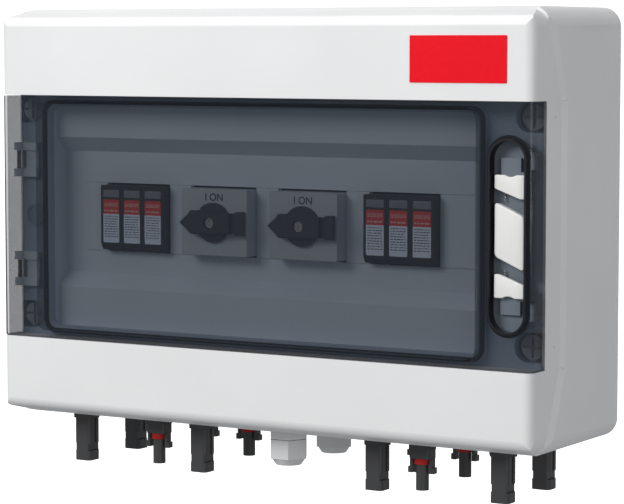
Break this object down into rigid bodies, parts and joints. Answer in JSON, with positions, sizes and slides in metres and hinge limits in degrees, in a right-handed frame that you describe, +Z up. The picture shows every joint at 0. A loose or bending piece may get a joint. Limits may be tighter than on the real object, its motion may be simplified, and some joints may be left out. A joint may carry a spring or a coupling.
{
  "type": "dc combiner box",
  "caption": "Wall-mounted DC combiner box with a smoked hinged door over surge arresters and rotary isolators, and string connectors and cable glands below.",
  "frame": {"origin": "centre of the rear wall face", "axes": "+X to the right seen from the front, +Z up, front faces -Y"},
  "size_m": [0.416, 0.1264, 0.318],
  "materials": {
    "base_plastic": "fine grained light grey plastic",
    "cover_plastic": "smooth light grey plastic",
    "gasket_rubber": "matt",
    "label_red": "glossy film",
    "mask_plastic": "light grey plastic",
    "screw_plastic": "grey plastic",
    "hinge_plastic": "light grey plastic",
    "pin_steel": "plain",
    "smoked_door": "smoked transparent plastic",
    "latch_black": "black plastic",
    "latch_white": "white plastic",
    "latch_grey": "grey plastic",
    "spring_steel": "bright wire",
    "rail_steel": "zinc plated",
    "screw_steel": "zinc plated",
    "device_black": "black plastic",
    "switch_dark": "dark grey plastic",
    "switch_grey": "grey plastic",
    "holder_green": "green plastic",
    "bar_brass": "plain",
    "connector_black": "black plastic",
    "contact_tin": "tin plated copper",
    "ring_red": "red rubber",
    "gland_grey": "light grey plastic",
    "wire_red": "insulation",
    "wire_black": "insulation",
    "wire_green": "insulation"
  },
  "bodies": {
    "base": {"base_tub": "base_plastic", "screw_pillars": "base_plastic", "screw_catches": "base_plastic", "seam_gasket": "gasket_rubber", "din_rail": "rail_steel", "rail_screws": "screw_steel", "spd_bases": "device_black", "switch_bodies": "switch_dark", "switch_plates": "switch_grey", "earth_bar_holder": "holder_green", "earth_bar": "bar_brass", "earth_bar_screws": "screw_steel", "socket_bodies": "connector_black", "socket_contacts": "contact_tin", "connector_nuts": "connector_black", "pin_bodies": "connector_black", "pin_rings": "ring_red", "pin_contacts": "contact_tin", "gland_bodies": "gland_grey", "gland_nuts": "gland_grey", "gland_seals": "gasket_rubber", "wires_red": "wire_red", "wires_black": "wire_black", "wires_earth": "wire_green"},
    "cover": {"cover": "cover_plastic", "red_label": "label_red", "mask_plate": "mask_plastic", "mask_frame": "mask_plastic", "blanking_strips": "mask_plastic", "hinge_side_cap": "mask_plastic", "hinge_ears": "hinge_plastic", "hinge_pins": "pin_steel", "latch_keepers": "hinge_plastic"},
    "door": {"door": "smoked_door", "door_seal": "gasket_rubber", "latch_collar": "latch_black", "latch_carrier": "latch_grey", "latch_grip": "latch_white", "latch_spring_upper": "spring_steel", "latch_spring_lower": "spring_steel"},
    "latch_tab_upper": {"latch_tab_upper": "latch_white", "latch_slide_upper": "latch_grey"},
    "latch_tab_lower": {"latch_tab_lower": "latch_white", "latch_slide_lower": "latch_grey"},
    "handle_left": {"handle_left": "device_black", "handle_screw_left": "screw_steel"},
    "handle_right": {"handle_right": "device_black", "handle_screw_right": "screw_steel"},
    "gland_cap_front": {"gland_cap_front": "gland_grey"},
    "gland_cap_rear": {"gland_cap_rear": "gland_grey"},
    "spd_plug_1": {"spd_plug_1": "device_black"},
    "spd_plug_2": {"spd_plug_2": "device_black"},
    "spd_plug_3": {"spd_plug_3": "device_black"},
    "spd_plug_4": {"spd_plug_4": "device_black"},
    "spd_plug_5": {"spd_plug_5": "device_black"},
    "spd_plug_6": {"spd_plug_6": "device_black"},
    "cover_screw_1": {"cover_screw_1": "screw_plastic"},
    "cover_screw_2": {"cover_screw_2": "screw_plastic"},
    "cover_screw_3": {"cover_screw_3": "screw_plastic"},
    "cover_screw_4": {"cover_screw_4": "screw_plastic"}
  },
  "joints": [
    {"name": "cover_lift_off", "type": "slide", "parent": "base", "child": "cover", "axis": [0, -1, 0], "range_m": [0, 0.12]},
    {"name": "door_swing", "type": "hinge", "parent": "cover", "child": "door", "pos_m": [-0.203, -0.1107, 0], "axis": [0, 0, -1], "range_deg": [0, 120]},
    {"name": "latch_upper_press", "type": "slide", "parent": "door", "child": "latch_tab_upper", "axis": [0, 0, -1], "range_m": [0, 0.007], "stiffness_N_per_m": 250, "springref_m": -0.004, "deforming": ["latch_spring_upper"]},
    {"name": "latch_lower_press", "type": "slide", "parent": "door", "child": "latch_tab_lower", "axis": [0, 0, 1], "range_m": [0, 0.007], "stiffness_N_per_m": 250, "springref_m": -0.004, "deforming": ["latch_spring_lower"]},
    {"name": "handle_left_turn", "type": "hinge", "parent": "base", "child": "handle_left", "pos_m": [-0.0449, -0.1, -0.0025], "axis": [0, 1, 0], "range_deg": [0, 90]},
    {"name": "handle_right_turn", "type": "hinge", "parent": "base", "child": "handle_right", "pos_m": [0.0255, -0.1, -0.0025], "axis": [0, 1, 0], "range_deg": [0, 90]},
    {"name": "cover_screw_1_turn", "type": "hinge", "parent": "cover", "child": "cover_screw_1", "pos_m": [0.196, -0.1, 0.0723], "axis": [0, 1, 0], "range_deg": [0, 90]},
    {"name": "cover_screw_2_turn", "type": "hinge", "parent": "cover", "child": "cover_screw_2", "pos_m": [0.196, -0.1, -0.0723], "axis": [0, 1, 0], "range_deg": [0, 90]},
    {"name": "cover_screw_3_turn", "type": "hinge", "parent": "cover", "child": "cover_screw_3", "pos_m": [-0.196, -0.1, 0.0723], "axis": [0, 1, 0], "range_deg": [0, 90]},
    {"name": "cover_screw_4_turn", "type": "hinge", "parent": "cover", "child": "cover_screw_4", "pos_m": [-0.196, -0.1, -0.0723], "axis": [0, 1, 0], "range_deg": [0, 90]},
    {"name": "spd_plug_1_pull", "type": "slide", "parent": "base", "child": "spd_plug_1", "axis": [0, -1, 0], "range_m": [0, 0.02]},
    {"name": "spd_plug_2_pull", "type": "slide", "parent": "base", "child": "spd_plug_2", "axis": [0, -1, 0], "range_m": [0, 0.02]},
    {"name": "spd_plug_3_pull", "type": "slide", "parent": "base", "child": "spd_plug_3", "axis": [0, -1, 0], "range_m": [0, 0.02]},
    {"name": "spd_plug_4_pull", "type": "slide", "parent": "base", "child": "spd_plug_4", "axis": [0, -1, 0], "range_m": [0, 0.02]},
    {"name": "spd_plug_5_pull", "type": "slide", "parent": "base", "child": "spd_plug_5", "axis": [0, -1, 0], "range_m": [0, 0.02]},
    {"name": "spd_plug_6_pull", "type": "slide", "parent": "base", "child": "spd_plug_6", "axis": [0, -1, 0], "range_m": [0, 0.02]},
    {"name": "gland_cap_front_turn", "type": "hinge", "parent": "base", "child": "gland_cap_front", "pos_m": [0.006, -0.088, -0.152], "axis": [0, 0, 1], "continuous": true},
    {"name": "gland_cap_rear_turn", "type": "hinge", "parent": "base", "child": "gland_cap_rear", "pos_m": [0.006, -0.028, -0.152], "axis": [0, 0, 1], "continuous": true}
  ]
}
